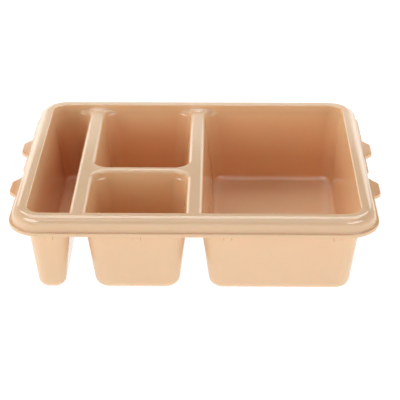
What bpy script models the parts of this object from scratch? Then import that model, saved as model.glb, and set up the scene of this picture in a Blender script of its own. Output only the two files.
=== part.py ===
"""Meal tray with four compartments, moulded in one piece of plastic.

A long narrow compartment on the left, two small ones in the middle column and
one large one on the right hang as separate tapered cups under a raised, hollow
rim. A thin lip runs round the foot of the rim and carries two lifting tabs on
each short side. Origin at the middle of the footprint, on the resting plane.
Sizes are millimetres and are turned into metres when the mesh is made.
"""

import math

import bmesh
import bpy

MM = 0.001

# ---- driving dimensions -------------------------------------------------
HEIGHT = 67.8            # resting plane to top of rim
WALL = 2.0               # wall thickness all over
RIM_X = 121.8            # half width of the mouth, at the top of the rim
RIM_Y = 97.5             # half depth of the mouth, at the top of the rim
RIM_CORNER = 11.7        # plan radius of the mouth
DRAFT_OUT = 0.117        # taper of the outer walls, run over fall
DRAFT_DIV = 0.12        # taper of the walls beside a divider
DECK_DROP = 4.2          # top of the dividers below the top of the rim
DECK_ROUND = 3.2         # rounding of the divider edges
FILLET = 4.6             # inside radius where a wall meets a floor
CORNER = 11.5            # plan radius of a compartment beside a divider
CORNER_FLOOR = 9.6       # plan radius of the wide compartments at the floor
CORNER_FLOOR_NARROW = 6.6  # the same for the narrow compartment

DIV_LEFT = -85.1         # middle of the left divider
DIV_RIGHT = 0.2          # middle of the right divider
DIV_HALF = 5.8           # half width of both
CROSS = -16.6            # middle of the cross divider
CROSS_HALF = 3.8

RIM_ROUND_IN = 1.0       # inner edge of the rim
RIM_FLAT = 4.4           # where the flat top of the rim begins to roll over
RIM_ROUND_OUT = 6.8      # radius of that roll
RIM_WIDTH = 11.4         # mouth to outer face, at the foot of the rim
RIM_DROP = 10.2          # top of rim to top of lip
LIP = 2.3                # lip beyond the outer face
LIP_THICK = 2.75
LIP_EDGE = 0.45

TAB_Y = (-36.7, 33.3)             # middle of each tab, either side of the middle
TAB_MORE = 0.35          # how much thicker the tabs are than the lip
TAB_SHAPE = ((16.0, 0.0), (14.2, 0.5), (12.4, 1.9), (9.2, 4.6), (7.8, 5.4), (6.4, 5.6))
NOTCH = (-20.9, -6.5)    # short gap in the lip, beside the front tab
NOTCH_DEPTH = 2.0
NOTCH_SLOPE = 0.7

PAD_RUN = 5.0            # hollow fillet where a divider's top meets the outer wall
PAD_RISE = 2.2
PAD_HALF = 9.9

SHOULDER = 0.8           # small shoulder in the corners beside a divider
SHOULDER_TALL = 1.7
SHOULDER_OUT = 3.2       # its middle below the divider's top, beside an outer wall
SHOULDER_IN = 6.0        # and beside the cross divider

LUG_X = (-105.6, -41.4, 24.9, 105.0)  # small lugs under the lip
LUG_WIDE = 5.8
LUG_PROUD = 1.5
LUG_ROOT = 1.0
LUG_TOP = 52.2
LUG_FOOT = 43.8

# ---- fineness of the facets ---------------------------------------------
SEG_FILLET = 4
SEG_ROUND = 3
SEG_ROLL = 4
SEG_IN = 2
SEG_LOW = 2              # corner segments before the ray through a junction
SEG_HIGH = 4             # and after it
SEG_OUTER = 6
SEG_PAD = 3
SEG_SHOULDER = 2

DECK = HEIGHT - DECK_DROP
FILLET_Z = WALL + FILLET
DIV_L0, DIV_L1 = DIV_LEFT - DIV_HALF, DIV_LEFT + DIV_HALF
DIV_R0, DIV_R1 = DIV_RIGHT - DIV_HALF, DIV_RIGHT + DIV_HALF
OUT_X = RIM_X - DRAFT_OUT * DECK_DROP
OUT_Y = RIM_Y - DRAFT_OUT * DECK_DROP
OUT_CORNER = RIM_CORNER - DRAFT_OUT * DECK_DROP


def slant(draft):
    return math.sqrt(1 + draft * draft)


def spread(a, b, n):
    return [a + (b - a) * i / n for i in range(n + 1)]


def lip_extra(y):
    """How far the lip of a short side reaches past its normal edge, at y."""
    for middle in TAB_Y:
        d = abs(y - middle)
        if d < TAB_SHAPE[0][0]:
            for (d0, e0), (d1, e1) in zip(TAB_SHAPE, TAB_SHAPE[1:]):
                if d >= d1:
                    return e0 + (e1 - e0) * (d0 - d) / (d0 - d1)
            return TAB_SHAPE[-1][1]
    if NOTCH[0] < y < NOTCH[1]:
        inside = min(y - NOTCH[0], NOTCH[1] - y)
        return -NOTCH_DEPTH * min(1.0, inside / NOTCH_SLOPE)
    return 0.0


def lip_thick(extra):
    """The lip is thicker under the tabs."""
    return LIP_THICK + TAB_MORE * min(1.0, max(0.0, extra) / 2.0)


def side_stations():
    found = []
    for middle in TAB_Y:
        for d, _ in TAB_SHAPE:
            found += [middle - d, middle + d]
    found += [NOTCH[0], NOTCH[0] + NOTCH_SLOPE, NOTCH[1] - NOTCH_SLOPE, NOTCH[1]]
    return sorted(found)


def rim_top(extra):
    """(outward, height) from the wall, over the rim, to the lower edge of the lip."""
    d, s = DRAFT_OUT, slant(DRAFT_OUT)
    phi = math.atan(d)
    out = []
    for g in spread(phi, math.pi / 2, SEG_IN):
        out.append((-d * RIM_ROUND_IN + RIM_ROUND_IN * (s - math.cos(g)), HEIGHT - RIM_ROUND_IN + RIM_ROUND_IN * math.sin(g)))
    r = RIM_ROUND_OUT
    lean = math.atan((RIM_WIDTH - RIM_FLAT - r) / (RIM_DROP - r))
    for g in spread(math.pi / 2, lean, SEG_ROLL):
        out.append((RIM_FLAT + r * math.cos(g), HEIGHT - r + r * math.sin(g)))
    foot, edge = HEIGHT - RIM_DROP, RIM_WIDTH + LIP + extra
    thick = lip_thick(extra)
    out.append((RIM_WIDTH, foot))
    out.append((edge - LIP_EDGE, foot))
    out.append((edge, foot - LIP_EDGE))
    out.append((edge, foot - thick + LIP_EDGE))
    out.append((edge - LIP_EDGE, foot - thick))
    return out


def rim_under(extra):
    """(outward, height) from under the rim down to the lower edge of the lip."""
    d, s = DRAFT_OUT, slant(DRAFT_OUT)
    foot = HEIGHT - RIM_DROP - LIP_THICK
    face = RIM_FLAT + RIM_ROUND_OUT - WALL
    return [
        (WALL * (s - d), HEIGHT - WALL),
        (face - 3.0, HEIGHT - WALL),
        (face - 0.88, HEIGHT - WALL - 0.88),
        (face, HEIGHT - WALL - 3.0),
        (RIM_WIDTH - WALL - 0.1, foot),
        (RIM_WIDTH + 0.1, foot),
        (RIM_WIDTH + LIP + extra - LIP_EDGE, foot + LIP_THICK - lip_thick(extra)),
    ]


class Strip:
    """One line of points from the middle of a floor outwards.

    foot(z) is the point of the wall in plan at height z, n the outward
    direction, kind one of own (its own outer wall), mid (ends half-way over a
    divider) and cut (runs over the divider end into an outer wall)."""

    def __init__(self, foot, n, draft, kind, reach=0.0, wall=None, extra=0.0, middle=None, shoulder=(0.0, 0.0)):
        self.foot, self.n, self.draft, self.kind = foot, n, draft, kind
        self.reach, self.wall, self.extra = reach, wall, extra
        self.middle, self.shoulder = middle, shoulder

    def at(self, z_foot, out, z):
        x, y = self.foot(z_foot)
        return (x + self.n[0] * out, y + self.n[1] * out, z)

    def lifted(self, p):
        """The point p of a divider's top, raised where the top runs up into the outer wall."""
        if self.middle is None:
            return p
        x, y, z = p
        across = 1 - ((x - self.middle) / PAD_HALF) ** 2
        along = 1 - (OUT_Y - abs(y)) / PAD_RUN
        if across <= 0 or along <= 0:
            return p
        rise = PAD_RISE * across * (1 - math.sqrt(max(0.0, 1 - min(1.0, along) ** 2)))
        return (x, y + math.copysign(DRAFT_OUT * rise, y), z + rise)

    def over_deck(self, low, start, end):
        """The rest of a divider's top, from start to end, with closer points towards the end."""
        for i in range(1, SEG_PAD + 1):
            out = start + (end - start) * math.sin(i / SEG_PAD * math.pi / 2)
            low.append(self.lifted(self.at(DECK, out, DECK)))

    def wall_points(self):
        """The wall between fillet and rounding, with its shoulder."""
        size, depth = self.shoulder
        middle = DECK - (depth or SHOULDER_OUT)
        found = []
        for t in spread(0.0, 1.0, SEG_SHOULDER):
            z = middle - SHOULDER_TALL / 2 + SHOULDER_TALL * t
            inward = size * (1 - t * t * (3 - 2 * t)) * SHOULDER
            found.append(self.at(z, -inward, z))
        return found

    def top(self):
        d, s = self.draft, slant(self.draft)
        phi = math.atan(d)
        low = []
        for b in spread(math.pi / 2, phi, SEG_FILLET):
            low.append(self.at(FILLET_Z, FILLET * (math.cos(b) - s), FILLET_Z - FILLET * math.sin(b)))
        low += self.wall_points()
        r = DECK_ROUND
        centre = d * r - r * s
        if self.kind == "own":
            start = DECK - r + r * math.sin(phi)
            for z in spread(start, DECK, SEG_ROUND):
                low.append(self.at(z, 0.0, z))
            low += [self.at(DECK, 0.0, DECK)] * SEG_PAD
            return low, self.over_rim(self.at(DECK, d * DECK_DROP, 0.0), self.n, rim_top(self.extra))
        if self.kind == "mid":
            for g in spread(phi, math.pi / 2, SEG_ROUND):
                low.append(self.at(DECK, -centre - r * math.cos(g), DECK - r + r * math.sin(g)))
            self.over_deck(low, -centre, self.reach)
            return low, None
        # cut: follow the rounding and the deck until the outer wall is met
        toward = self.n[1] * self.wall

        def past(g):
            out = -centre - r * math.cos(g)
            return (CORNER + out) * toward - CORNER - DRAFT_OUT * (r * math.sin(g) - r)

        end = math.pi / 2
        flat = CORNER / toward - CORNER
        if past(end) > 0:
            lo, hi = phi, end
            for _ in range(60):
                mid = (lo + hi) / 2
                lo, hi = (mid, hi) if past(mid) < 0 else (lo, mid)
            end, flat = lo, None
        for g in spread(phi, end, SEG_ROUND):
            low.append(self.at(DECK, -centre - r * math.cos(g), DECK - r + r * math.sin(g)))
        if flat is None:
            low += [low[-1]] * SEG_PAD
        else:
            self.over_deck(low, -centre, flat)
        base = (low[-1][0], self.wall * RIM_Y, 0.0)
        return low, self.over_rim(base, (0.0, self.wall), rim_top(0.0))

    def under(self):
        d, s = self.draft, slant(self.draft)
        phi = math.atan(d)
        low = []
        for b in spread(math.pi / 2, phi, SEG_FILLET):
            low.append(self.at(FILLET_Z, (FILLET + WALL) * math.cos(b) - FILLET * s, FILLET_Z - (FILLET + WALL) * math.sin(b)))
        step = WALL * (s - d)
        z = DECK - WALL
        low.append(self.at(DECK, step, z))
        if self.kind == "own":
            low.append(low[-1])
            return low, self.over_rim(self.at(DECK, d * DECK_DROP, 0.0), self.n, rim_under(self.extra))
        if self.kind == "mid":
            low.append(self.at(DECK, self.reach, z))
            return low, None
        toward = self.n[1] * self.wall
        wide = CORNER + WALL * (slant(DRAFT_OUT) - DRAFT_OUT)
        low.append(self.at(DECK, wide / toward - CORNER, z))
        base = (low[-1][0], self.wall * RIM_Y, 0.0)
        return low, self.over_rim(base, (0.0, self.wall), rim_under(0.0))

    @staticmethod
    def over_rim(base, n, profile):
        return [(base[0] + n[0] * o, base[1] + n[1] * o, z) for o, z in profile]


def plan_radius(top, floor):
    return lambda z: floor + (top - floor) * (z - FILLET_Z) / (DECK - FILLET_Z)


class Compartment:
    """x0, x1, y0, y1 are the walls at deck height; each side is out or a divider half width."""

    def __init__(self, x0, x1, y0, y1, sides, floor_radius):
        self.edge = {"x0": x0, "x1": x1, "y0": y0, "y1": y1}
        self.side = sides
        self.floor_radius = floor_radius

    def is_out(self, name):
        return self.side[name] == "out"

    def draft(self, name):
        return DRAFT_OUT if self.is_out(name) else DRAFT_DIV

    def line(self, name, z):
        inward = 1 if name.endswith("0") else -1
        return self.edge[name] + inward * self.draft(name) * (DECK - z)

    def radius(self, xn, yn):
        both = self.is_out(xn) and self.is_out(yn)
        return plan_radius(OUT_CORNER if both else CORNER, self.floor_radius)

    def centre(self, xn, yn, z):
        r = self.radius(xn, yn)(z)
        sx = 1 if xn == "x1" else -1
        sy = 1 if yn == "y1" else -1
        return self.line(xn, z) - sx * r, self.line(yn, z) - sy * r

    def corner_angles(self, xn, yn):
        """Angles from the x side to the y side, 0 to 90 degrees, with the ray through the junction."""
        if self.is_out(xn) and self.is_out(yn):
            return spread(0.0, math.pi / 2, SEG_OUTER)
        if self.is_out(yn):
            ray = math.atan2(CORNER, CORNER + self.side[xn])
            return spread(0.0, ray, SEG_LOW) + spread(ray, math.pi / 2, SEG_HIGH)[1:]
        ray = math.atan2(CORNER + self.side[yn], CORNER + self.side[xn])
        return spread(0.0, ray, 3) + spread(ray, math.pi / 2, 3)[1:]

    def corner(self, xn, yn, under):
        """The strips of a corner, from its x side to its y side."""
        sx = 1 if xn == "x1" else -1
        sy = 1 if yn == "y1" else -1
        radius = self.radius(xn, yn)
        out = []
        for a in self.corner_angles(xn, yn):
            kind, reach, wall = "own", 0.0, None
            used = a
            if not (self.is_out(xn) and self.is_out(yn)):
                if self.is_out(yn):
                    ray = math.atan2(CORNER, CORNER + self.side[xn])
                    if a > math.pi / 2 - 1e-9:
                        kind = "own"
                    elif a < ray - 1e-9:
                        kind = "mid"
                    else:
                        kind, wall = "cut", sy
                    if under and kind != "own":
                        used = self.under_angle(a, ray)
                    reach = (CORNER + self.side[xn]) / math.cos(used) - CORNER
                else:
                    kind = "mid"
                    ray = math.atan2(CORNER + self.side[yn], CORNER + self.side[xn])
                    if a <= ray:
                        reach = (CORNER + self.side[xn]) / math.cos(a) - CORNER
                    else:
                        reach = (CORNER + self.side[yn]) / math.sin(a) - CORNER
            n = (sx * math.cos(used), sy * math.sin(used))
            d = self.draft(xn) * math.cos(used) ** 2 + self.draft(yn) * math.sin(used) ** 2

            def foot(z, n=n):
                cx, cy = self.centre(xn, yn, z)
                r = radius(z)
                return cx + n[0] * r, cy + n[1] * r

            middle = shoulder = None
            if not self.is_out(xn):
                if self.is_out(yn):
                    middle = self.edge[xn] + sx * self.side[xn]
                size = max(0.0, 1 - ((math.degrees(a) - 58) / 34) ** 2)
                shoulder = (size * size, SHOULDER_OUT if self.is_out(yn) else SHOULDER_IN)
            out.append(Strip(foot, n, d, kind, reach, wall, 0.0, middle, shoulder or (0.0, 0.0)))
        return out

    def under_angle(self, a, ray):
        """The angle at which the underside reaches the same place on the outer wall as the top."""
        wide = CORNER + WALL * (slant(DRAFT_OUT) - DRAFT_OUT)
        if a < ray + 1e-9:
            return math.atan(wide / CORNER * math.tan(a))
        d = DRAFT_DIV * math.cos(a) ** 2 + DRAFT_OUT * math.sin(a) ** 2
        probe = Strip(lambda z: (CORNER * math.cos(a), CORNER * math.sin(a)), (math.cos(a), math.sin(a)), d, "cut", 0.0, 1)
        x = probe.top()[0][-1][0]
        return math.atan2(wide, x)

    def straight(self, name, stations, reverse=False):
        """Strips along a side at the given stations between its two corners."""
        out = []
        s = 1 if name.endswith("1") else -1
        if name[0] == "x":
            ends = lambda z: (self.centre(name, "y0", z)[1], self.centre(name, "y1", z)[1])
            n = (s, 0.0)
        else:
            ends = lambda z: (self.centre("x0", name, z)[0], self.centre("x1", name, z)[0])
            n = (0.0, s)
        lo, hi = ends(DECK)
        for t in stations:
            if not lo + 0.01 < t < hi - 0.01:
                continue
            f = (t - lo) / (hi - lo)

            def foot(z, f=f):
                a, b = ends(z)
                along = a + (b - a) * f
                return (self.line(name, z), along) if name[0] == "x" else (along, self.line(name, z))

            if self.is_out(name):
                extra = lip_extra(t) if name[0] == "x" else 0.0
                out.append(Strip(foot, n, self.draft(name), "own", 0.0, None, extra))
            else:
                out.append(Strip(foot, n, self.draft(name), "mid", self.side[name]))
        return out[::-1] if reverse else out

    def loop(self, stations, under=False):
        """All strips, anticlockwise from the right side."""
        get = lambda name: stations.get(name, [])
        return (
            self.straight("x1", get("x1"))
            + self.corner("x1", "y1", under)
            + self.straight("y1", get("y1"), True)
            + self.corner("x0", "y1", under)[::-1]
            + self.straight("x0", get("x0"), True)
            + self.corner("x0", "y0", under)
            + self.straight("y0", get("y0"))
            + self.corner("x1", "y0", under)[::-1]
        )


def junction_stations(half):
    """Where the corners beside the cross divider reach the middle of a long divider."""
    ray = math.atan2(CORNER + CROSS_HALF, CORNER + half)
    steps = [(CORNER + half) * math.tan(a) for a in spread(0.0, ray, 3)]
    lower = CROSS - CROSS_HALF - CORNER
    upper = CROSS + CROSS_HALF + CORNER
    return sorted({round(v, 6) for v in [lower + s for s in steps] + [upper - s for s in steps]})


def compartments():
    out, div = "out", DIV_HALF
    narrow = Compartment(-OUT_X, DIV_L0, -OUT_Y, OUT_Y, dict(x0=out, x1=div, y0=out, y1=out), CORNER_FLOOR_NARROW)
    back = Compartment(DIV_L1, DIV_R0, CROSS + CROSS_HALF, OUT_Y, dict(x0=div, x1=div, y0=CROSS_HALF, y1=out), CORNER_FLOOR)
    front = Compartment(DIV_L1, DIV_R0, -OUT_Y, CROSS - CROSS_HALF, dict(x0=div, x1=div, y0=out, y1=CROSS_HALF), CORNER_FLOOR)
    wide = Compartment(DIV_R1, OUT_X, -OUT_Y, OUT_Y, dict(x0=div, x1=out, y0=out, y1=out), CORNER_FLOOR)
    sides, joints = side_stations(), junction_stations(div)
    return [(narrow, dict(x0=sides, x1=joints)), (back, {}), (front, {}), (wide, dict(x0=joints, x1=sides))]


def tray_mesh():
    bm = bmesh.new()
    known = {}

    def vert(p):
        key = tuple(round(c, 4) for c in p)
        if key not in known:
            known[key] = bm.verts.new([c * MM for c in p])
        return known[key]

    def face(points):
        ring = []
        for p in points:
            v = vert(p)
            if v not in ring:
                ring.append(v)
        if len(ring) > 2:
            try:
                bm.faces.new(ring)
            except ValueError:
                pass

    for room, stations in compartments():
        for under in (False, True):
            strips = room.loop(stations, under)
            lines = [s.under() if under else s.top() for s in strips]
            middle_x = sum(low[0][0] for low, _ in lines) / len(lines)
            y_low = min(low[0][1] for low, _ in lines)
            y_high = max(low[0][1] for low, _ in lines)
            middle = (middle_x, (y_low + y_high) / 2, 0.0 if under else WALL)
            for (low_a, up_a), (low_b, up_b) in zip(lines, lines[1:] + lines[:1]):
                quads = [[low_a[0], low_b[0], middle]]
                for a0, b0, a1, b1 in zip(low_a, low_b, low_a[1:], low_b[1:]):
                    quads.append([a0, a1, b1, b0])
                if up_a and up_b:
                    line_a, line_b = [low_a[-1]] + up_a, [low_b[-1]] + up_b
                    for a0, b0, a1, b1 in zip(line_a, line_b, line_a[1:], line_b[1:]):
                        quads.append([a0, a1, b1, b0])
                for q in quads:
                    face(q if under else q[::-1])
    bmesh.ops.remove_doubles(bm, verts=bm.verts, dist=0.004 * MM)
    bmesh.ops.dissolve_degenerate(bm, edges=bm.edges, dist=0.002 * MM)
    bmesh.ops.recalc_face_normals(bm, faces=bm.faces)
    return bm


def wall_face(z):
    """Distance of the outer face of the front and back walls from the middle, at height z."""
    return RIM_Y - DRAFT_OUT * (HEIGHT - z) + WALL * slant(DRAFT_OUT)


def lug_mesh():
    """Small blocks under the lip, half buried in the front and back walls, with a sloped foot."""
    bm = bmesh.new()
    for side in (-1, 1):
        for x in LUG_X:
            made = bmesh.ops.create_cube(bm, size=1.0)["verts"]
            for v in made:
                proud, low = v.co.y > 0, v.co.z < 0
                z = LUG_FOOT + (0.9 if proud else 0.0) if low else LUG_TOP
                y = wall_face(z) + (LUG_PROUD if proud else -LUG_ROOT)
                half = LUG_WIDE / 2 - (0.45 if proud else 0.0)
                v.co = ((x + math.copysign(half, v.co.x)) * MM, side * y * MM, z * MM)
    bmesh.ops.recalc_face_normals(bm, faces=bm.faces)
    return bm


def new_object(name, bm, collection):
    mesh = bpy.data.meshes.new(name)
    bm.to_mesh(mesh)
    bm.free()
    made = bpy.data.objects.new(name, mesh)
    collection.objects.link(made)
    return made


def peach_plastic():
    material = bpy.data.materials.new("peach_plastic")
    material.use_nodes = True
    shader = material.node_tree.nodes["Principled BSDF"]
    shader.inputs["Base Color"].default_value = (0.79, 0.49, 0.29, 1.0)
    shader.inputs["Roughness"].default_value = 0.28
    shader.inputs["IOR"].default_value = 1.49
    material.diffuse_color = (0.79, 0.49, 0.29, 1.0)
    return material


def main():
    for old in list(bpy.data.objects):
        bpy.data.objects.remove(old, do_unlink=True)
    scene = bpy.context.scene
    group = bpy.data.collections.new("meal_tray")
    helpers = bpy.data.collections.new("meal_tray_cutters")
    scene.collection.children.link(group)
    scene.collection.children.link(helpers)

    tray = new_object("tray", tray_mesh(), group)
    lugs = new_object("lugs", lug_mesh(), helpers)
    lugs.hide_render = True
    lugs.display_type = "WIRE"

    join = tray.modifiers.new("lugs", "BOOLEAN")
    join.operation = "UNION"
    join.solver = "EXACT"
    join.object = lugs

    tray.data.materials.append(peach_plastic())
    tray.data.shade_smooth()
    tray.data.set_sharp_from_angle(angle=math.radians(38))
    bpy.context.view_layer.update()


main()
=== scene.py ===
"""Looks for the meal tray with four compartments.

The tray is moulded in one piece of glossy peach plastic. Its surface is made
here again, from the same dimensions as the solid, with finely stepped fillets
and rounded edges, and it stands for the solid in the picture. Sizes are
millimetres and are turned into metres when the mesh is made.
"""

import math

import bmesh
import bpy
from mathutils import Matrix, Vector


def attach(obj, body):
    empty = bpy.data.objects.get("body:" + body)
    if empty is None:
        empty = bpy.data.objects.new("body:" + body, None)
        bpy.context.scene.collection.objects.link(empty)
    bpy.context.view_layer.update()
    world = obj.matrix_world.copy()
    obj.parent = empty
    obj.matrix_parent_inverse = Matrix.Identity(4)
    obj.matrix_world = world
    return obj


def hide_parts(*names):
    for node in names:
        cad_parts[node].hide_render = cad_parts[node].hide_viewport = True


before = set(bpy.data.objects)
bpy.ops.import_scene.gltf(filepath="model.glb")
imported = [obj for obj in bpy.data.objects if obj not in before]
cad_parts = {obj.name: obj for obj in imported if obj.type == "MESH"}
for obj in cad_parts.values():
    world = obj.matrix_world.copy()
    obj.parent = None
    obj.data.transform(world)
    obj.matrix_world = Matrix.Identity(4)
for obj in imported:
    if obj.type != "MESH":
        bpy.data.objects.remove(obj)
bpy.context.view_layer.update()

MM = 0.001

# ---- driving dimensions, as in the solid --------------------------------
HEIGHT = 67.8
WALL = 2.0
RIM_X = 121.8
RIM_Y = 97.5
RIM_CORNER = 11.7
DRAFT_OUT = 0.117
DRAFT_DIV = 0.12
DECK_DROP = 4.2
DECK_ROUND = 3.2
FILLET = 4.6
CORNER = 11.5
CORNER_FLOOR = 9.6
CORNER_FLOOR_NARROW = 6.6

DIV_LEFT = -85.1
DIV_RIGHT = 0.2
DIV_HALF = 5.8
CROSS = -16.6
CROSS_HALF = 3.8

RIM_ROUND_IN = 1.0
RIM_FLAT = 4.4
RIM_ROUND_OUT = 6.8
RIM_WIDTH = 11.4
RIM_DROP = 10.2
RIM_HOLLOW = 0.55        # fillet between the outer face of the rim and the lip
LIP = 2.3
LIP_THICK = 2.75
LIP_EDGE = 0.6           # rounding of the lip's edges

TAB_Y = (-36.7, 33.3)
TAB_MORE = 0.35          # how much thicker the tabs are than the lip
TAB_SHAPE = ((16.0, 0.0), (14.2, 0.5), (12.4, 1.9), (9.2, 4.6), (7.8, 5.4), (6.4, 5.6))
NOTCH = (-20.9, -6.5)
NOTCH_DEPTH = 2.0
NOTCH_SLOPE = 0.7

PAD_RUN = 5.0            # hollow fillet where a divider's top meets the outer wall
PAD_RISE = 2.2
PAD_HALF = 9.9

SHOULDER = 0.8           # small shoulder in the corners beside a divider
SHOULDER_TALL = 1.7
SHOULDER_OUT = 3.2       # its middle below the divider's top, beside an outer wall
SHOULDER_IN = 6.0        # and beside the cross divider

LUG_X = (-105.6, -41.4, 24.9, 105.0)
LUG_WIDE = 5.8
LUG_PROUD = 1.5
LUG_ROOT = 1.0
LUG_TOP = 52.2
LUG_FOOT = 43.8
LUG_EDGE = 0.45

# ---- fineness -----------------------------------------------------------
SEG_FILLET = 10
SEG_ROUND = 8
SEG_ROLL = 12
SEG_IN = 6
SEG_LOW = 7
SEG_HIGH = 13
SEG_OUTER = 20
SEG_CROSS = 10
SEG_EDGE = 4
SEG_PAD = 10
SEG_SHOULDER = 6

DECK = HEIGHT - DECK_DROP
FILLET_Z = WALL + FILLET
DIV_L0, DIV_L1 = DIV_LEFT - DIV_HALF, DIV_LEFT + DIV_HALF
DIV_R0, DIV_R1 = DIV_RIGHT - DIV_HALF, DIV_RIGHT + DIV_HALF
OUT_X = RIM_X - DRAFT_OUT * DECK_DROP
OUT_Y = RIM_Y - DRAFT_OUT * DECK_DROP
OUT_CORNER = RIM_CORNER - DRAFT_OUT * DECK_DROP


def slant(draft):
    return math.sqrt(1 + draft * draft)


def spread(a, b, n):
    return [a + (b - a) * i / n for i in range(n + 1)]


def lip_extra(y):
    """How far the lip of a short side reaches past its normal edge, at y."""
    for middle in TAB_Y:
        d = abs(y - middle)
        if d < TAB_SHAPE[0][0]:
            for (d0, e0), (d1, e1) in zip(TAB_SHAPE, TAB_SHAPE[1:]):
                if d >= d1:
                    return e0 + (e1 - e0) * (d0 - d) / (d0 - d1)
            return TAB_SHAPE[-1][1]
    if NOTCH[0] < y < NOTCH[1]:
        inside = min(y - NOTCH[0], NOTCH[1] - y)
        return -NOTCH_DEPTH * min(1.0, inside / NOTCH_SLOPE)
    return 0.0


def lip_thick(extra):
    """The lip is thicker under the tabs."""
    return LIP_THICK + TAB_MORE * min(1.0, max(0.0, extra) / 2.0)


def side_stations():
    found = []
    for middle in TAB_Y:
        for d, _ in TAB_SHAPE:
            found += [middle - d, middle + d]
    found += [NOTCH[0], NOTCH[0] + NOTCH_SLOPE, NOTCH[1] - NOTCH_SLOPE, NOTCH[1]]
    return sorted(found)


def rim_top(extra):
    """(outward, height) from the wall, over the rim, to the lower edge of the lip."""
    d, s = DRAFT_OUT, slant(DRAFT_OUT)
    phi = math.atan(d)
    out = []
    for g in spread(phi, math.pi / 2, SEG_IN):
        out.append((-d * RIM_ROUND_IN + RIM_ROUND_IN * (s - math.cos(g)), HEIGHT - RIM_ROUND_IN + RIM_ROUND_IN * math.sin(g)))
    r = RIM_ROUND_OUT
    lean = math.atan((RIM_WIDTH - RIM_FLAT - r) / (RIM_DROP - r))
    for g in spread(math.pi / 2, lean, SEG_ROLL):
        out.append((RIM_FLAT + r * math.cos(g), HEIGHT - r + r * math.sin(g)))
    foot, edge = HEIGHT - RIM_DROP, RIM_WIDTH + LIP + extra
    thick = lip_thick(extra)
    h = RIM_HOLLOW
    for g in spread(math.pi - lean, 1.5 * math.pi, SEG_EDGE + 1):
        out.append((RIM_WIDTH + h + h * math.cos(g), foot + h + h * math.sin(g)))
    e = LIP_EDGE
    for g in spread(math.pi / 2, 0.0, SEG_EDGE):
        out.append((edge - e + e * math.cos(g), foot - e + e * math.sin(g)))
    for g in spread(0.0, -math.pi / 2, SEG_EDGE):
        out.append((edge - e + e * math.cos(g), foot - thick + e + e * math.sin(g)))
    return out


def rim_under(extra):
    """(outward, height) from under the rim down to the lower edge of the lip."""
    d, s = DRAFT_OUT, slant(DRAFT_OUT)
    foot = HEIGHT - RIM_DROP - LIP_THICK
    face = RIM_FLAT + RIM_ROUND_OUT - WALL
    r = 3.0
    more = lip_thick(extra) - LIP_THICK
    out = [(WALL * (s - d), HEIGHT - WALL)]
    for g in spread(math.pi / 2, 0.0, 5):
        out.append((face - r + r * math.cos(g), HEIGHT - WALL - r + r * math.sin(g)))
    out.append((RIM_WIDTH - WALL - 0.1, foot + 0.5))
    out.append((RIM_WIDTH - WALL + 0.15, foot + 0.12))
    out.append((RIM_WIDTH - WALL + 0.5, foot))
    out.append((RIM_WIDTH + 0.1, foot))
    out.append((RIM_WIDTH + 0.8, foot - more))
    out.append((RIM_WIDTH + LIP + extra - LIP_EDGE, foot - more))
    return out


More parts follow.
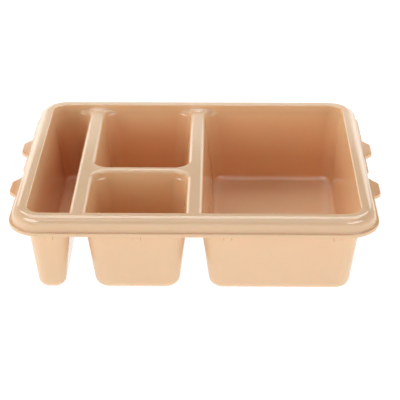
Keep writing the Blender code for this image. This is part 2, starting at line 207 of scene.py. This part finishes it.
class Strip:
    """One line of points from the middle of a floor outwards.

    foot(z) is the point of the wall in plan at height z, n the outward
    direction, kind one of own (its own outer wall), mid (ends half-way over a
    divider) and cut (runs over the divider end into an outer wall)."""

    def __init__(self, foot, n, draft, kind, reach=0.0, wall=None, extra=0.0, middle=None, shoulder=(0.0, 0.0)):
        self.foot, self.n, self.draft, self.kind = foot, n, draft, kind
        self.reach, self.wall, self.extra = reach, wall, extra
        self.middle, self.shoulder = middle, shoulder

    def at(self, z_foot, out, z):
        x, y = self.foot(z_foot)
        return (x + self.n[0] * out, y + self.n[1] * out, z)

    def lifted(self, p):
        """The point p of a divider's top, raised where the top runs up into the outer wall."""
        if self.middle is None:
            return p
        x, y, z = p
        across = 1 - ((x - self.middle) / PAD_HALF) ** 2
        along = 1 - (OUT_Y - abs(y)) / PAD_RUN
        if across <= 0 or along <= 0:
            return p
        rise = PAD_RISE * across * (1 - math.sqrt(max(0.0, 1 - min(1.0, along) ** 2)))
        return (x, y + math.copysign(DRAFT_OUT * rise, y), z + rise)

    def over_deck(self, low, start, end):
        """The rest of a divider's top, from start to end, with closer points towards the end."""
        for i in range(1, SEG_PAD + 1):
            out = start + (end - start) * math.sin(i / SEG_PAD * math.pi / 2)
            low.append(self.lifted(self.at(DECK, out, DECK)))

    def wall_points(self):
        """The wall between fillet and rounding, with its shoulder."""
        size, depth = self.shoulder
        middle = DECK - (depth or SHOULDER_OUT)
        found = []
        for t in spread(0.0, 1.0, SEG_SHOULDER):
            z = middle - SHOULDER_TALL / 2 + SHOULDER_TALL * t
            inward = size * (1 - t * t * (3 - 2 * t)) * SHOULDER
            found.append(self.at(z, -inward, z))
        return found

    def top(self):
        d, s = self.draft, slant(self.draft)
        phi = math.atan(d)
        low = []
        for b in spread(math.pi / 2, phi, SEG_FILLET):
            low.append(self.at(FILLET_Z, FILLET * (math.cos(b) - s), FILLET_Z - FILLET * math.sin(b)))
        low += self.wall_points()
        r = DECK_ROUND
        centre = d * r - r * s
        if self.kind == "own":
            start = DECK - r + r * math.sin(phi)
            for z in spread(start, DECK, SEG_ROUND):
                low.append(self.at(z, 0.0, z))
            low += [self.at(DECK, 0.0, DECK)] * SEG_PAD
            return low, self.over_rim(self.at(DECK, d * DECK_DROP, 0.0), self.n, rim_top(self.extra))
        if self.kind == "mid":
            for g in spread(phi, math.pi / 2, SEG_ROUND):
                low.append(self.at(DECK, -centre - r * math.cos(g), DECK - r + r * math.sin(g)))
            self.over_deck(low, -centre, self.reach)
            return low, None
        toward = self.n[1] * self.wall

        def past(g):
            out = -centre - r * math.cos(g)
            return (CORNER + out) * toward - CORNER - DRAFT_OUT * (r * math.sin(g) - r)

        end = math.pi / 2
        flat = CORNER / toward - CORNER
        if past(end) > 0:
            lo, hi = phi, end
            for _ in range(60):
                mid = (lo + hi) / 2
                lo, hi = (mid, hi) if past(mid) < 0 else (lo, mid)
            end, flat = lo, None
        for g in spread(phi, end, SEG_ROUND):
            low.append(self.at(DECK, -centre - r * math.cos(g), DECK - r + r * math.sin(g)))
        if flat is None:
            low += [low[-1]] * SEG_PAD
        else:
            self.over_deck(low, -centre, flat)
        base = (low[-1][0], self.wall * RIM_Y, 0.0)
        return low, self.over_rim(base, (0.0, self.wall), rim_top(0.0))

    def under(self):
        d, s = self.draft, slant(self.draft)
        phi = math.atan(d)
        low = []
        for b in spread(math.pi / 2, phi, SEG_FILLET):
            low.append(self.at(FILLET_Z, (FILLET + WALL) * math.cos(b) - FILLET * s, FILLET_Z - (FILLET + WALL) * math.sin(b)))
        step = WALL * (s - d)
        z = DECK - WALL
        low.append(self.at(DECK, step, z))
        if self.kind == "own":
            low.append(low[-1])
            return low, self.over_rim(self.at(DECK, d * DECK_DROP, 0.0), self.n, rim_under(self.extra))
        if self.kind == "mid":
            low.append(self.at(DECK, self.reach, z))
            return low, None
        toward = self.n[1] * self.wall
        wide = CORNER + WALL * (slant(DRAFT_OUT) - DRAFT_OUT)
        low.append(self.at(DECK, wide / toward - CORNER, z))
        base = (low[-1][0], self.wall * RIM_Y, 0.0)
        return low, self.over_rim(base, (0.0, self.wall), rim_under(0.0))

    @staticmethod
    def over_rim(base, n, profile):
        return [(base[0] + n[0] * o, base[1] + n[1] * o, z) for o, z in profile]


def plan_radius(top, floor):
    return lambda z: floor + (top - floor) * (z - FILLET_Z) / (DECK - FILLET_Z)


class Compartment:
    """x0, x1, y0, y1 are the walls at deck height; each side is out or a divider half width."""

    def __init__(self, x0, x1, y0, y1, sides, floor_radius):
        self.edge = {"x0": x0, "x1": x1, "y0": y0, "y1": y1}
        self.side = sides
        self.floor_radius = floor_radius

    def is_out(self, name):
        return self.side[name] == "out"

    def draft(self, name):
        return DRAFT_OUT if self.is_out(name) else DRAFT_DIV

    def line(self, name, z):
        inward = 1 if name.endswith("0") else -1
        return self.edge[name] + inward * self.draft(name) * (DECK - z)

    def radius(self, xn, yn):
        both = self.is_out(xn) and self.is_out(yn)
        return plan_radius(OUT_CORNER if both else CORNER, self.floor_radius)

    def centre(self, xn, yn, z):
        r = self.radius(xn, yn)(z)
        sx = 1 if xn == "x1" else -1
        sy = 1 if yn == "y1" else -1
        return self.line(xn, z) - sx * r, self.line(yn, z) - sy * r

    def corner_angles(self, xn, yn):
        """Angles from the x side to the y side, 0 to 90 degrees, with the ray through the junction."""
        if self.is_out(xn) and self.is_out(yn):
            return spread(0.0, math.pi / 2, SEG_OUTER)
        if self.is_out(yn):
            ray = math.atan2(CORNER, CORNER + self.side[xn])
            return spread(0.0, ray, SEG_LOW) + spread(ray, math.pi / 2, SEG_HIGH)[1:]
        ray = math.atan2(CORNER + self.side[yn], CORNER + self.side[xn])
        return spread(0.0, ray, SEG_CROSS) + spread(ray, math.pi / 2, SEG_CROSS)[1:]

    def corner(self, xn, yn, under):
        """The strips of a corner, from its x side to its y side."""
        sx = 1 if xn == "x1" else -1
        sy = 1 if yn == "y1" else -1
        radius = self.radius(xn, yn)
        out = []
        for a in self.corner_angles(xn, yn):
            kind, reach, wall = "own", 0.0, None
            used = a
            if not (self.is_out(xn) and self.is_out(yn)):
                if self.is_out(yn):
                    ray = math.atan2(CORNER, CORNER + self.side[xn])
                    if a > math.pi / 2 - 1e-9:
                        kind = "own"
                    elif a < ray - 1e-9:
                        kind = "mid"
                    else:
                        kind, wall = "cut", sy
                    if under and kind != "own":
                        used = self.under_angle(a, ray)
                    reach = (CORNER + self.side[xn]) / math.cos(used) - CORNER
                else:
                    kind = "mid"
                    ray = math.atan2(CORNER + self.side[yn], CORNER + self.side[xn])
                    if a <= ray:
                        reach = (CORNER + self.side[xn]) / math.cos(a) - CORNER
                    else:
                        reach = (CORNER + self.side[yn]) / math.sin(a) - CORNER
            n = (sx * math.cos(used), sy * math.sin(used))
            d = self.draft(xn) * math.cos(used) ** 2 + self.draft(yn) * math.sin(used) ** 2

            def foot(z, n=n):
                cx, cy = self.centre(xn, yn, z)
                r = radius(z)
                return cx + n[0] * r, cy + n[1] * r

            middle = shoulder = None
            if not self.is_out(xn):
                if self.is_out(yn):
                    middle = self.edge[xn] + sx * self.side[xn]
                size = max(0.0, 1 - ((math.degrees(a) - 58) / 34) ** 2)
                shoulder = (size * size, SHOULDER_OUT if self.is_out(yn) else SHOULDER_IN)
            out.append(Strip(foot, n, d, kind, reach, wall, 0.0, middle, shoulder or (0.0, 0.0)))
        return out

    def under_angle(self, a, ray):
        """The angle at which the underside reaches the same place on the outer wall as the top."""
        wide = CORNER + WALL * (slant(DRAFT_OUT) - DRAFT_OUT)
        if a < ray + 1e-9:
            return math.atan(wide / CORNER * math.tan(a))
        d = DRAFT_DIV * math.cos(a) ** 2 + DRAFT_OUT * math.sin(a) ** 2
        probe = Strip(lambda z: (CORNER * math.cos(a), CORNER * math.sin(a)), (math.cos(a), math.sin(a)), d, "cut", 0.0, 1)
        x = probe.top()[0][-1][0]
        return math.atan2(wide, x)

    def straight(self, name, stations, reverse=False):
        """Strips along a side at the given stations between its two corners."""
        out = []
        s = 1 if name.endswith("1") else -1
        if name[0] == "x":
            ends = lambda z: (self.centre(name, "y0", z)[1], self.centre(name, "y1", z)[1])
            n = (s, 0.0)
        else:
            ends = lambda z: (self.centre("x0", name, z)[0], self.centre("x1", name, z)[0])
            n = (0.0, s)
        lo, hi = ends(DECK)
        for t in stations:
            if not lo + 0.01 < t < hi - 0.01:
                continue
            f = (t - lo) / (hi - lo)

            def foot(z, f=f):
                a, b = ends(z)
                along = a + (b - a) * f
                return (self.line(name, z), along) if name[0] == "x" else (along, self.line(name, z))

            if self.is_out(name):
                extra = lip_extra(t) if name[0] == "x" else 0.0
                out.append(Strip(foot, n, self.draft(name), "own", 0.0, None, extra))
            else:
                out.append(Strip(foot, n, self.draft(name), "mid", self.side[name]))
        return out[::-1] if reverse else out

    def loop(self, stations, under=False):
        """All strips, anticlockwise from the right side."""
        get = lambda name: stations.get(name, [])
        return (
            self.straight("x1", get("x1"))
            + self.corner("x1", "y1", under)
            + self.straight("y1", get("y1"), True)
            + self.corner("x0", "y1", under)[::-1]
            + self.straight("x0", get("x0"), True)
            + self.corner("x0", "y0", under)
            + self.straight("y0", get("y0"))
            + self.corner("x1", "y0", under)[::-1]
        )


def junction_stations(half):
    """Where the corners beside the cross divider reach the middle of a long divider."""
    ray = math.atan2(CORNER + CROSS_HALF, CORNER + half)
    steps = [(CORNER + half) * math.tan(a) for a in spread(0.0, ray, SEG_CROSS)]
    lower = CROSS - CROSS_HALF - CORNER
    upper = CROSS + CROSS_HALF + CORNER
    return sorted({round(v, 6) for v in [lower + s for s in steps] + [upper - s for s in steps]})


def compartments():
    out, div = "out", DIV_HALF
    narrow = Compartment(-OUT_X, DIV_L0, -OUT_Y, OUT_Y, dict(x0=out, x1=div, y0=out, y1=out), CORNER_FLOOR_NARROW)
    back = Compartment(DIV_L1, DIV_R0, CROSS + CROSS_HALF, OUT_Y, dict(x0=div, x1=div, y0=CROSS_HALF, y1=out), CORNER_FLOOR)
    front = Compartment(DIV_L1, DIV_R0, -OUT_Y, CROSS - CROSS_HALF, dict(x0=div, x1=div, y0=out, y1=CROSS_HALF), CORNER_FLOOR)
    wide = Compartment(DIV_R1, OUT_X, -OUT_Y, OUT_Y, dict(x0=div, x1=out, y0=out, y1=out), CORNER_FLOOR)
    sides, joints = side_stations(), junction_stations(div)
    return [(narrow, dict(x0=sides, x1=joints)), (back, {}), (front, {}), (wide, dict(x0=joints, x1=sides))]


def tray_mesh():
    bm = bmesh.new()
    known = {}

    def vert(p):
        key = tuple(round(c, 4) for c in p)
        if key not in known:
            known[key] = bm.verts.new([c * MM for c in p])
        return known[key]

    def face(points):
        ring = []
        for p in points:
            v = vert(p)
            if v not in ring:
                ring.append(v)
        if len(ring) > 2:
            try:
                bm.faces.new(ring)
            except ValueError:
                pass

    for room, stations in compartments():
        for under in (False, True):
            strips = room.loop(stations, under)
            lines = [s.under() if under else s.top() for s in strips]
            middle_x = sum(low[0][0] for low, _ in lines) / len(lines)
            y_low = min(low[0][1] for low, _ in lines)
            y_high = max(low[0][1] for low, _ in lines)
            middle = (middle_x, (y_low + y_high) / 2, 0.0 if under else WALL)
            for (low_a, up_a), (low_b, up_b) in zip(lines, lines[1:] + lines[:1]):
                quads = [[low_a[0], low_b[0], middle]]
                for a0, b0, a1, b1 in zip(low_a, low_b, low_a[1:], low_b[1:]):
                    quads.append([a0, a1, b1, b0])
                if up_a and up_b:
                    line_a, line_b = [low_a[-1]] + up_a, [low_b[-1]] + up_b
                    for a0, b0, a1, b1 in zip(line_a, line_b, line_a[1:], line_b[1:]):
                        quads.append([a0, a1, b1, b0])
                for q in quads:
                    face(q if under else q[::-1])
    bmesh.ops.remove_doubles(bm, verts=bm.verts, dist=0.004 * MM)
    bmesh.ops.dissolve_degenerate(bm, edges=bm.edges, dist=0.002 * MM)
    bmesh.ops.recalc_face_normals(bm, faces=bm.faces)
    return bm


def wall_face(z):
    """Distance of the outer face of the front and back walls from the middle, at height z."""
    return RIM_Y - DRAFT_OUT * (HEIGHT - z) + WALL * slant(DRAFT_OUT)


def lug_mesh():
    """Small blocks under the lip, half buried in the front and back walls, with rounded faces and a sloped foot."""
    bm = bmesh.new()
    for side in (-1, 1):
        for x in LUG_X:
            made = bmesh.ops.create_cube(bm, size=1.0)["verts"]
            for v in made:
                proud, low = v.co.y > 0, v.co.z < 0
                z = LUG_FOOT + (0.9 if proud else 0.0) if low else LUG_TOP
                y = wall_face(z) + (LUG_PROUD if proud else -LUG_ROOT)
                half = LUG_WIDE / 2 - (0.25 if proud else 0.0)
                v.co = ((x + math.copysign(half, v.co.x)) * MM, side * y * MM, z * MM)
    bmesh.ops.recalc_face_normals(bm, faces=bm.faces)
    outer = [
        e
        for e in bm.edges
        if any(abs(v.co.y) > (wall_face(v.co.z / MM) + 0.5 * LUG_PROUD) * MM for v in e.verts)
    ]
    bmesh.ops.bevel(bm, geom=outer, offset=LUG_EDGE * MM, segments=3, profile=0.5, affect="EDGES")
    return bm


def new_object(name, bm):
    mesh = bpy.data.meshes.new(name)
    bm.to_mesh(mesh)
    bm.free()
    made = bpy.data.objects.new(name, mesh)
    bpy.context.scene.collection.objects.link(made)
    return made


def build_shell():
    """The finished surface, with the lugs joined on and the normals of the flats kept flat."""
    tray = new_object("tray_shell", tray_mesh())
    lugs = new_object("lug_blocks", lug_mesh())
    join = tray.modifiers.new("lugs", "BOOLEAN")
    join.operation = "UNION"
    join.solver = "EXACT"
    join.object = lugs
    bpy.context.view_layer.update()
    graph = bpy.context.evaluated_depsgraph_get()
    mesh = bpy.data.meshes.new_from_object(tray.evaluated_get(graph), depsgraph=graph)
    tray.modifiers.clear()
    old = tray.data
    tray.data = mesh
    bpy.data.meshes.remove(old)
    bpy.data.objects.remove(lugs, do_unlink=True)
    mesh.name = "tray_shell"
    mesh.shade_smooth()
    mesh.set_sharp_from_angle(angle=math.radians(40))
    weigh = tray.modifiers.new("normals", "WEIGHTED_NORMAL")
    weigh.mode = "FACE_AREA"
    weigh.weight = 60
    weigh.keep_sharp = True
    return tray


# ---- finish --------------------------------------------------------------


class Nodes:
    """Short way to place nodes and join them."""

    def __init__(self, material):
        self.tree = material.node_tree

    def add(self, kind, **settings):
        node = self.tree.nodes.new(kind)
        for key, value in settings.items():
            setattr(node, key, value)
        return node

    def join(self, a, out, b, into):
        self.tree.links.new(a.outputs[out], b.inputs[into])

    def noise(self, at, scale, detail=3.0, rough=0.5, stretch=(1.0, 1.0, 1.0)):
        place = self.add("ShaderNodeMapping")
        place.inputs["Scale"].default_value = stretch
        self.join(at, "Object", place, "Vector")
        node = self.add("ShaderNodeTexNoise")
        node.inputs["Scale"].default_value = scale
        node.inputs["Detail"].default_value = detail
        node.inputs["Roughness"].default_value = rough
        self.join(place, "Vector", node, "Vector")
        return node

    def between(self, source, out, low, high, a=0.0, b=1.0):
        node = self.add("ShaderNodeMapRange")
        node.inputs["From Min"].default_value = a
        node.inputs["From Max"].default_value = b
        node.inputs["To Min"].default_value = low
        node.inputs["To Max"].default_value = high
        self.join(source, out, node, "Value")
        return node


def peach_plastic():
    """Glossy polypropylene: faint flow marks in the colour, a slightly uneven gloss, a soft orange-peel skin, and
    painted shade on the inside walls and the tabs.
    """
    material = bpy.data.materials.new("peach_plastic")
    material.use_nodes = True
    n = Nodes(material)
    shader = material.node_tree.nodes["Principled BSDF"]
    at = n.add("ShaderNodeTexCoord")

    cloud = n.noise(at, 22.0, 3.0, 0.5)
    flow = n.noise(at, 60.0, 4.0, 0.55, (1.0, 0.25, 1.0))
    tone = n.add("ShaderNodeMix", data_type="RGBA")
    tone.inputs[6].default_value = (0.795, 0.557, 0.348, 1.0)
    tone.inputs[7].default_value = (0.815, 0.577, 0.366, 1.0)
    mixed = n.add("ShaderNodeMath", operation="ADD")
    n.join(n.between(cloud, "Fac", 0.0, 0.6, 0.35, 0.65), "Result", mixed, 0)
    n.join(n.between(flow, "Fac", 0.0, 0.4, 0.35, 0.65), "Result", mixed, 1)
    n.join(mixed, "Value", tone, 0)

    # painted light and shade: the inside walls are painted lighter near the top and darker, deeper in colour further
    # down, in place of the shade deep in the compartments; the thin tabs get a painted shade too
    facing = n.add("ShaderNodeSeparateXYZ")
    n.join(at, "Normal", facing, "Vector")
    place = n.add("ShaderNodeSeparateXYZ")
    n.join(at, "Object", place, "Vector")

    def product(*parts):
        last = None
        for node, out in parts:
            if last is None:
                last = (node, out)
                continue
            step = n.add("ShaderNodeMath", operation="MULTIPLY")
            n.join(last[0], last[1], step, 0)
            n.join(node, out, step, 1)
            last = (step, "Value")
        return last

    across = n.add("ShaderNodeMath", operation="ABSOLUTE")
    n.join(place, "X", across, 0)
    along = n.add("ShaderNodeMath", operation="ABSOLUTE")
    n.join(place, "Y", along, 0)
    walls = product(
        (n.between(facing, "Z", 0.0, 1.0, 0.02, 0.09), "Result"),
        (n.between(facing, "Z", 1.0, 0.0, 0.40, 0.80), "Result"),
        (n.between(across, "Value", 1.0, 0.0, 0.1222, 0.1234), "Result"),
        (n.between(along, "Value", 1.0, 0.0, 0.0979, 0.0991), "Result"),
    )
    low = n.between(place, "Z", 1.0, 0.0, 0.022, 0.058)
    # painted light and shade: lighter colour near the top of the inside walls, darker and deeper towards the floor
    depth = n.add("ShaderNodeMix", data_type="RGBA")
    depth.inputs[6].default_value = (1.07, 1.00, 0.89, 1.0)
    depth.inputs[7].default_value = (0.90, 0.71, 0.56, 1.0)
    n.join(low, "Result", depth, 0)
    # the painted shade is multiplied into the base colour on the inside walls only
    painted_wall_shade = n.add("ShaderNodeMix", data_type="RGBA", blend_type="MULTIPLY")
    n.join(walls[0], walls[1], painted_wall_shade, 0)
    n.join(tone, 2, painted_wall_shade, 6)
    n.join(depth, 2, painted_wall_shade, 7)
    # painted shade: the tabs beyond the rim are painted darker and deeper in colour than the rest of the plastic
    tabs = n.add("ShaderNodeMix", data_type="RGBA", blend_type="MULTIPLY")
    tabs.inputs[7].default_value = (1.02, 0.88, 0.74, 1.0)
    n.join(n.between(across, "Value", 0.0, 1.0, 0.1355, 0.1370), "Result", tabs, 0)
    n.join(painted_wall_shade, 2, tabs, 6)
    n.join(tabs, 2, shader, "Base Color")

    gloss = n.noise(at, 35.0, 5.0, 0.6)
    n.join(n.between(gloss, "Fac", 0.06, 0.10, 0.3, 0.7), "Result", shader, "Roughness")

    peel = n.noise(at, 420.0, 2.0, 0.5)
    wave = n.noise(at, 45.0, 2.0, 0.4)
    fine = n.add("ShaderNodeBump")
    fine.inputs["Strength"].default_value = 0.06
    fine.inputs["Distance"].default_value = 0.00006
    n.join(peel, "Fac", fine, "Height")
    soft = n.add("ShaderNodeBump")
    soft.inputs["Strength"].default_value = 0.10
    soft.inputs["Distance"].default_value = 0.00035
    n.join(wave, "Fac", soft, "Height")
    n.join(fine, "Normal", soft, "Normal")
    n.join(soft, "Normal", shader, "Normal")

    shader.inputs["IOR"].default_value = 1.48
    shader.inputs["Subsurface Weight"].default_value = 0.30
    shader.inputs["Subsurface Radius"].default_value = (1.0, 0.35, 0.15)
    shader.inputs["Subsurface Scale"].default_value = 0.004
    return material


def floor_plane():
    bm = bmesh.new()
    bmesh.ops.create_grid(bm, x_segments=1, y_segments=1, size=4.0)
    floor = new_object("studio_floor", bm)
    floor.location.z = -0.0002
    material = bpy.data.materials.new("white_table")
    material.use_nodes = True
    shader = material.node_tree.nodes["Principled BSDF"]
    shader.inputs["Base Color"].default_value = (0.15, 0.15, 0.15, 1.0)
    shader.inputs["Roughness"].default_value = 0.9
    shader.inputs["Specular IOR Level"].default_value = 0.0
    shader.inputs["Emission Color"].default_value = (1.0, 1.0, 1.0, 1.0)
    shader.inputs["Emission Strength"].default_value = 0.98
    floor.data.materials.append(material)
    return floor


def softbox(name, azimuth, elevation, distance, width, height, radiance, sheen=0.0):
    """A soft box that faces the tray. radiance is its brightness as seen from the tray; one with sheen 1 only makes highlights, and one with sheen 0 only fills."""
    data = bpy.data.lights.new(name, "AREA")
    data.shape = "RECTANGLE"
    data.size = width
    data.size_y = height
    data.energy = radiance * math.pi * width * height
    a, e = math.radians(azimuth), math.radians(elevation)
    toward = Vector((math.cos(e) * math.cos(a), math.cos(e) * math.sin(a), math.sin(e)))
    made = bpy.data.objects.new(name, data)
    made.rotation_mode = "QUATERNION"
    made.rotation_quaternion = toward.to_track_quat("Z", "Y")
    made.location = toward * distance + Vector((0.0, 0.0, 0.05))
    made.visible_camera = False
    made.visible_diffuse = sheen < 0.5
    made.visible_glossy = sheen > 0.5
    bpy.context.scene.collection.objects.link(made)
    return made


def studio_light():
    """White surroundings, bright near the table and dark overhead, with a ring of soft boxes."""
    world = bpy.data.worlds.new("studio")
    bpy.context.scene.world = world
    world.use_nodes = True
    tree = world.node_tree
    back = tree.nodes["Background"]
    place = tree.nodes.new("ShaderNodeTexCoord")
    split = tree.nodes.new("ShaderNodeSeparateXYZ")
    ramp = tree.nodes.new("ShaderNodeMapRange")
    ramp.interpolation_type = "SMOOTHSTEP"
    ramp.inputs["From Min"].default_value = 0.05
    ramp.inputs["From Max"].default_value = 0.75
    ramp.inputs["To Min"].default_value = WORLD_LOW
    ramp.inputs["To Max"].default_value = WORLD_HIGH
    tree.links.new(place.outputs["Generated"], split.inputs[0])
    tree.links.new(split.outputs["Z"], ramp.inputs["Value"])
    path = tree.nodes.new("ShaderNodeLightPath")
    sheen = tree.nodes.new("ShaderNodeMapRange")
    sheen.inputs["To Min"].default_value = 1.0
    sheen.inputs["To Max"].default_value = WORLD_SHEEN
    tree.links.new(path.outputs["Is Glossy Ray"], sheen.inputs["Value"])
    both = tree.nodes.new("ShaderNodeMath")
    both.operation = "MULTIPLY"
    tree.links.new(ramp.outputs["Result"], both.inputs[0])
    tree.links.new(sheen.outputs["Result"], both.inputs[1])
    back.inputs["Color"].default_value = (1.0, 1.0, 1.0, 1.0)
    tree.links.new(both.outputs["Value"], back.inputs["Strength"])
    for box in SOFTBOXES:
        softbox(*box)


# name, azimuth, elevation, distance, width, height, radiance, sheen
SOFTBOXES = (
    ("softbox_front_left", -139.0, 28.0, 1.8, 1.5, 1.3, 0.20),
    ("softbox_back", 92.0, 50.0, 1.8, 1.8, 0.9, 1.80),
    ("softbox_back_left", 135.0, 50.0, 1.8, 1.0, 1.0, 1.35),
    ("softbox_back_right", 45.0, 50.0, 1.8, 1.0, 1.0, 1.20),
    ("softbox_left", 180.0, 30.0, 1.8, 1.2, 1.2, 1.80),
    ("softbox_right", 0.0, 30.0, 1.8, 1.2, 1.2, 0.45),
    ("softbox_top", -90.0, 81.0, 1.8, 1.2, 0.4, 1.30),
    ("sheen_back", 90.0, 52.0, 1.8, 2.0, 0.9, 4.4, 1.0),
    ("sheen_front", -90.0, 14.0, 1.8, 1.3, 0.9, 1.2, 1.0),
    ("sheen_front_high", -90.0, 46.0, 1.8, 1.5, 0.8, 0.5, 1.0),
    ("sheen_top_front", -90.0, 72.0, 1.8, 2.0, 1.0, 2.2, 1.0),
    ("sheen_top_back", 90.0, 76.0, 1.8, 2.0, 0.45, 6.0, 1.0),
    ("sheen_back_low", 90.0, 19.0, 1.8, 0.9, 0.4, 0.9, 1.0),
    ("sheen_back_low_left", 113.0, 12.0, 1.8, 0.55, 0.75, 1.8, 1.0),
    ("sheen_back_low_right", 67.0, 12.0, 1.8, 0.55, 0.75, 1.8, 1.0),
    ("sheen_corner_left", -141.0, 42.0, 1.8, 1.5, 0.7, 8.0, 1.0),
    ("sheen_corner_right", -45.0, 42.0, 1.8, 1.4, 0.7, 7.0, 1.0),
)
WORLD_LOW = 1.60
WORLD_HIGH = 0.0
WORLD_SHEEN = 0.35

# ---- camera --------------------------------------------------------------
CAMERA_AT = Vector((0.01949, -0.93820, 0.51602))
LOOK_DOWN = math.radians(27.5)
TURN = math.radians(0.996)
ROLL = math.radians(-0.195)
LENS = 119.09


def camera():
    data = bpy.data.cameras.new("camera")
    data.lens = LENS
    data.sensor_width = 36.0
    data.sensor_fit = "HORIZONTAL"
    data.clip_start = 0.05
    data.clip_end = 50.0
    right = Vector((math.cos(TURN), math.sin(TURN), 0.0))
    ahead = Vector((-math.sin(TURN) * math.cos(LOOK_DOWN), math.cos(TURN) * math.cos(LOOK_DOWN), -math.sin(LOOK_DOWN)))
    up = right.cross(ahead)
    r = math.cos(ROLL) * right + math.sin(ROLL) * up
    u = math.cos(ROLL) * up - math.sin(ROLL) * right
    made = bpy.data.objects.new("camera", data)
    made.matrix_world = Matrix((
        (r.x, u.x, -ahead.x, CAMERA_AT.x),
        (r.y, u.y, -ahead.y, CAMERA_AT.y),
        (r.z, u.z, -ahead.z, CAMERA_AT.z),
        (0.0, 0.0, 0.0, 1.0),
    ))
    bpy.context.scene.collection.objects.link(made)
    bpy.context.scene.camera = made


camera()
tray = build_shell()
tray.data.materials.clear()
tray.data.materials.append(peach_plastic())
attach(tray, "root")
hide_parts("tray")

floor_plane()
studio_light()
bpy.context.scene.view_settings.view_transform = "Standard"
